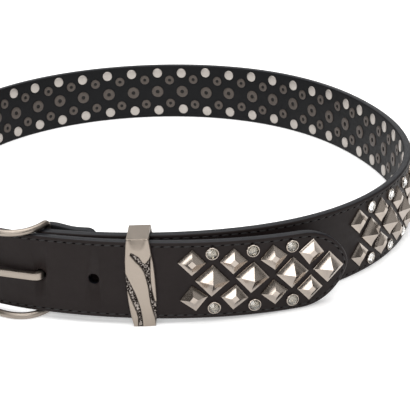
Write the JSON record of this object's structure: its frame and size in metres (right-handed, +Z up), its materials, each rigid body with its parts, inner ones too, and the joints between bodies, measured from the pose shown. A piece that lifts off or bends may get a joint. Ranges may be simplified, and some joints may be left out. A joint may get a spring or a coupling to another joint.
{
  "type": "studded belt",
  "caption": "Buckled leather belt standing in a loop, set with pyramid studs and rimmed crystals, with an arched prong buckle and a cast metal keeper.",
  "frame": {"origin": "on the floor, below the middle of the belt's bounding box", "axes": "+Z up from the edge that the belt stands on, +Y from the buckle side to the back of the loop, +X to the wearer's left, towards the strap's free point"},
  "size_m": [0.2908, 0.32, 0.0451],
  "materials": {
    "leather": "satin, smooth grain, stitched edges",
    "stud_metal": "warm pewter, softly polished",
    "keeper_metal": "satin cast metal, blackened in the furrows",
    "buckle_metal": "satin cast metal",
    "crystal": "cut crystal, foil-backed, in a thin metal rim"
  },
  "bodies": {
    "root": {"strap": "leather", "buckle_frame": "buckle_metal", "buckle_prong": "buckle_metal", "keeper": "keeper_metal", "tip_large_stud_1": "stud_metal", "tip_large_stud_2": "stud_metal", "tip_large_stud_3": "stud_metal", "tip_large_stud_4": "stud_metal", "tip_small_stud_1": "stud_metal", "tip_small_stud_2": "stud_metal", "tip_small_stud_3": "stud_metal", "tip_small_stud_4": "stud_metal", "tip_small_stud_5": "stud_metal", "tip_small_stud_6": "stud_metal", "tip_small_stud_7": "stud_metal", "tip_small_stud_8": "stud_metal", "side_small_stud_1": "stud_metal", "side_small_stud_2": "stud_metal", "side_large_stud_1": "stud_metal", "tip_crystal_1": "crystal", "tip_crystal_2": "crystal", "tip_crystal_3": "crystal", "tip_crystal_4": "crystal", "tip_crystal_5": "crystal", "tip_crystal_6": "crystal", "side_crystal_1": "crystal", "side_crystal_2": "crystal"}
  },
  "joints": []
}
